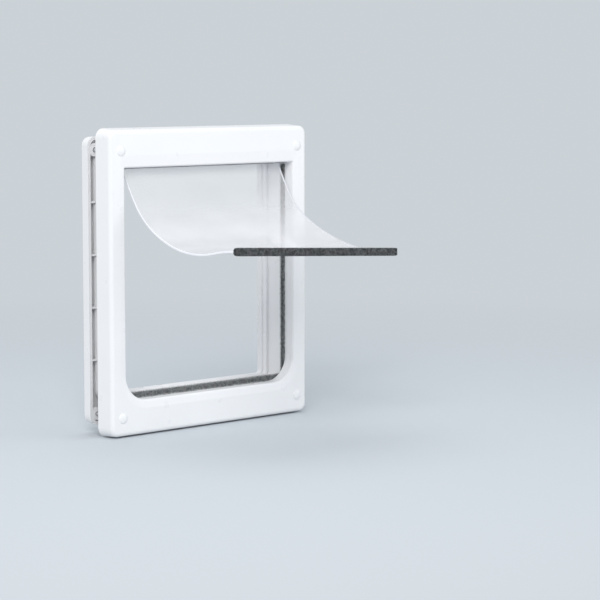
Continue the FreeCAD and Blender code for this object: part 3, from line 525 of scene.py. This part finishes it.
def add_fibre(points, faces, root, lean, side, width):
    """A thin three-sided fibre from its root along lean."""
    across = side * width
    third = lean.cross(side).normalized() * width
    start = len(points)
    points.extend([root + across, root - across * 0.5 + third * 0.87,
                   root - across * 0.5 - third * 0.87, root + lean])
    faces.extend([(start, start + 1, start + 3), (start + 1, start + 2, start + 3),
                  (start + 2, start, start + 3)])


def fuzzy_piece(name, base_points, base_faces, points, faces, material):
    """One object of a closed base and the fibres on it."""
    shift = len(base_points)
    data = bpy.data.meshes.new(name)
    data.from_pydata([*base_points, *points], [],
                     [*base_faces, *[tuple(i + shift for i in f) for f in faces]])
    data.materials.append(material)
    piece = bpy.data.objects.new(name, data)
    scene.collection.objects.link(piece)
    return piece


def seal_course():
    """Points and inward normals down the left jamb, along the sill and up the right jamb."""
    half, drop = SEAL_HIGH.x - SEAL_SEAT, -SEAL_LOW.z - SEAL_SEAT
    left, right, low = -half + SEAL_CORNER, half - SEAL_CORNER, -drop + SEAL_CORNER
    course = []

    def straight(a, b, normal):
        count = max(2, round((Vector(b) - Vector(a)).length / SEAL_STEP))
        for i in range(count):
            course.append((Vector(a).lerp(Vector(b), i / count), Vector(normal)))

    def bend(x, start):
        count = round(SEAL_CORNER * math.pi / 2 / SEAL_STEP)
        for i in range(count):
            angle = start + math.pi / 2 * i / count
            out = Vector((math.cos(angle), 0, math.sin(angle)))
            course.append((Vector((x, 0, low)) + out * SEAL_CORNER, -out))

    straight((-half, 0, SEAL_TOP), (-half, 0, low), (1, 0, 0))
    bend(left, math.pi)
    straight((left, 0, -drop), (right, 0, -drop), (0, 0, 1))
    bend(right, 1.5 * math.pi)
    straight((half, 0, low), (half, 0, SEAL_TOP), (-1, 0, 0))
    course.append((Vector((half, 0, SEAL_TOP)), Vector((-1, 0, 0))))
    return course


def seal_backing(course):
    """The woven backing in its groove, as points and faces."""
    seat, crown = SEAL_SEAT - SEAT_PLAY, BACKING + BACKING_CROWN
    profile = [(SEAL_FRONT, -seat), (SEAL_FRONT, BACKING), (SEAL_FRONT + BACKING_BEVEL, crown),
               (SEAL_BACK - BACKING_BEVEL, crown), (SEAL_BACK, BACKING), (SEAL_BACK, -seat)]
    k = len(profile)
    points = [point + normal * up + Vector((0, y, 0)) for point, normal in course for y, up in profile]
    faces = []
    for i in range(len(course) - 1):
        for j in range(k):
            a, b = i * k + j, i * k + (j + 1) % k
            faces.append((a, b, b + k, a + k))
    last = (len(course) - 1) * k
    faces += [tuple(range(k))[::-1], tuple(last + j for j in range(k))]
    return points, faces


def make_frame_pile():
    """The seal in jambs and sill: a woven backing in its groove and dense fibres out of it."""
    rng = random.Random(11)
    course = seal_course()
    depth = SEAL_BACK - SEAL_FRONT - 2 * FIBRE_INSET
    points, faces = [], []
    for i, (point, normal) in enumerate(course):
        along = (course[min(i + 1, len(course) - 1)][0] - course[max(i - 1, 0)][0]).normalized()
        height = JAMB_PILE + (SILL_PILE - JAMB_PILE) * max(0.0, normal.z)
        for row in range(SEAL_ROWS):
            y = SEAL_FRONT + FIBRE_INSET + depth * (row + rng.uniform(0.2, 0.8)) / SEAL_ROWS
            for _ in range(TUFT):
                root = point + along * rng.uniform(-ROOT_ALONG, ROOT_ALONG) + Vector((0, y, 0))
                root += normal * BACKING
                root += Vector((0, rng.uniform(-ROOT_ACROSS, ROOT_ACROSS), 0))
                lift = (height - BACKING) * rng.uniform(0.86, 1.0)
                lean = normal * lift + along * rng.uniform(-TIP_ALONG, TIP_ALONG)
                lean += Vector((0, rng.uniform(-TIP_ACROSS, TIP_ACROSS), 0))
                add_fibre(points, faces, root, lean, along, SEAL_FIBRE)
    piece = fuzzy_piece("frame_pile_seal", *seal_backing(course), points, faces, PILE)
    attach(piece, "frame")
    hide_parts("frame_pile")


# Pile strip round the flap's edge channel

CHANNEL_THICK = 0.0026
CHANNEL_WIDE = 0.0031
CLOTH = 0.0008
FILM_SLOT = 0.0010
FILM_SIDE_ROUND = 0.0027
OUTER_SIDE_ROUND = 0.0006
CAP_START = 0.09884
CAP_END = 0.09904
END_ROOT = 0.09900
STRIP_STEPS = 80
STRIP_FIBRES = 24000
END_FIBRES = 1400
STRIP_FIBRE = 0.00009
FUZZ = 0.0006
SWAY = 0.0004
ROOT_INSET = 0.0001

# Half the thickness and width of the strip's ends that get fibres, and their rounded outline.
END_THICK = 0.0032
END_WIDE = 0.0037
END_ROUND = 0.0031
END_ROUND_AT = 0.0010


def edge_frame():
    """Middle, along, across and up directions of the flap's edge channel."""
    (left_y, left_z, slope), (right_y, right_z, _) = film_point(-1, CHANNEL_AT), film_point(1, CHANNEL_AT)
    left, right = Vector((-FILM_HALF, left_y, left_z)), Vector((FILM_HALF, right_y, right_z))
    along = (right - left).normalized()
    across = along.cross(Vector((0, -math.sin(slope), -math.cos(slope)))).normalized()
    return (left + right) / 2, along, across, along.cross(across).normalized()


def strip_section():
    """Across, up and outward normal round the strip, from one side of the film to the other."""
    thick, wide = CHANNEL_THICK + CLOTH, CHANNEL_WIDE + CLOTH
    soft, tight = FILM_SIDE_ROUND, OUTER_SIDE_ROUND
    outline = []

    def run(a, b, normal, count):
        for i in range(count):
            f = i / count
            outline.append((a[0] + (b[0] - a[0]) * f, a[1] + (b[1] - a[1]) * f, normal))

    def bend(centre, radius, start, count=7):
        for i in range(count):
            angle = math.radians(start - 90.0 * i / (count - 1))
            normal = (math.cos(angle), math.sin(angle))
            outline.append((centre[0] + normal[0] * radius, centre[1] + normal[1] * radius, normal))

    run((FILM_SLOT, wide), (thick - soft, wide), (0.0, 1.0), 3)
    bend((thick - soft, wide - soft), soft, 90.0)
    run((thick, wide - soft), (thick, -wide + tight), (1.0, 0.0), 10)
    bend((thick - tight, -wide + tight), tight, 0.0)
    run((thick - tight, -wide), (-thick + tight, -wide), (0.0, -1.0), 10)
    bend((-thick + tight, -wide + tight), tight, -90.0)
    run((-thick, -wide + tight), (-thick, wide - soft), (-1.0, 0.0), 10)
    bend((-thick + soft, wide - soft), soft, 180.0)
    run((-thick + soft, wide), (-FILM_SLOT, wide), (0.0, 1.0), 3)
    outline.append((-FILM_SLOT, wide, (0.0, 1.0)))
    return outline


def strip_cloth(outer, at):
    """The strip's cloth and its two end caps, as points and faces."""
    thick, wide = CHANNEL_THICK, CHANNEL_WIDE
    inner = [(-FILM_SLOT, wide), (-thick, wide), (-thick, -wide), (thick, -wide), (thick, wide),
             (FILM_SLOT, wide)]
    section = [(a, b) for a, b, _ in outer] + inner
    k = len(section)
    points, faces = [], []
    for i in range(STRIP_STEPS + 1):
        s = -FILM_HALF + 2 * FILM_HALF * i / STRIP_STEPS
        points += [at(s, a, b) for a, b in section]
    for i in range(STRIP_STEPS):
        for j in range(k):
            p, q = i * k + j, i * k + (j + 1) % k
            faces.append((p, p + k, q + k, q))
    last = STRIP_STEPS * k
    faces += [tuple(range(k)), tuple(last + j for j in range(k))[::-1]]
    count = len(outer)
    for end in (-1, 1):
        start = len(points)
        for s in (end * CAP_START, end * CAP_END):
            points += [at(s, a, b) for a, b, _ in outer]
        near = tuple(start + j for j in range(count))
        far = tuple(start + count + j for j in range(count))
        faces += [near[::end], far[::-end]]
        for j in range(count):
            p, q = start + j, start + (j + 1) % count
            faces.append((p, p + count, q + count, q)[::end])
    return points, faces


def make_edge_pile():
    """The pile strip folded round the channel: cloth backing and a fuzz of short fibres."""
    rng = random.Random(23)
    middle, along, across, up = edge_frame()
    outer = strip_section()

    def at(s, a, b):
        return middle + along * s + across * a + up * b

    points, faces = [], []
    lengths = [0.0]
    for (a0, b0, _), (a1, b1, _) in zip(outer, outer[1:]):
        lengths.append(lengths[-1] + math.hypot(a1 - a0, b1 - b0))
    for _ in range(STRIP_FIBRES):
        t = rng.uniform(0, lengths[-1])
        i = min(bisect.bisect_right(lengths, t), len(lengths) - 1) - 1
        f = (t - lengths[i]) / max(1e-9, lengths[i + 1] - lengths[i])
        (a0, b0, n0), (a1, b1, n1) = outer[i], outer[i + 1]
        s = rng.uniform(-FILM_HALF, FILM_HALF)
        normal = across * (n0[0] + (n1[0] - n0[0]) * f) + up * (n0[1] + (n1[1] - n0[1]) * f)
        normal.normalize()
        root = at(s, a0 + (a1 - a0) * f, b0 + (b1 - b0) * f) - normal * ROOT_INSET
        lean = normal * FUZZ * rng.uniform(0.7, 1.25) + along * rng.uniform(-SWAY, SWAY)
        lean += along.cross(normal) * rng.uniform(-SWAY, SWAY)
        add_fibre(points, faces, root, lean, along, STRIP_FIBRE)
    for _ in range(END_FIBRES):
        end = rng.choice((-1, 1))
        a, b = rng.uniform(-END_THICK, END_THICK), rng.uniform(-END_WIDE, END_WIDE)
        if math.hypot(a, max(0.0, b - END_ROUND_AT)) < END_ROUND:
            lean = along * end * rng.uniform(0.0002, 0.0005)
            lean += across * rng.uniform(-SWAY, SWAY) + up * rng.uniform(-SWAY, SWAY)
            add_fibre(points, faces, at(end * END_ROOT, a, b), lean, across, STRIP_FIBRE)
    piece = fuzzy_piece("edge_pile_strip", *strip_cloth(outer, at), points, faces, EDGE)
    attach(piece, "flap_edge")
    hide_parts("flap_edge_pile")


# Everything together

scene.view_settings.view_transform = "Standard"
make_camera()
make_world()
make_floor()
make_lamps()
dress_nodes()
make_film()
make_frame_pile()
make_edge_pile()
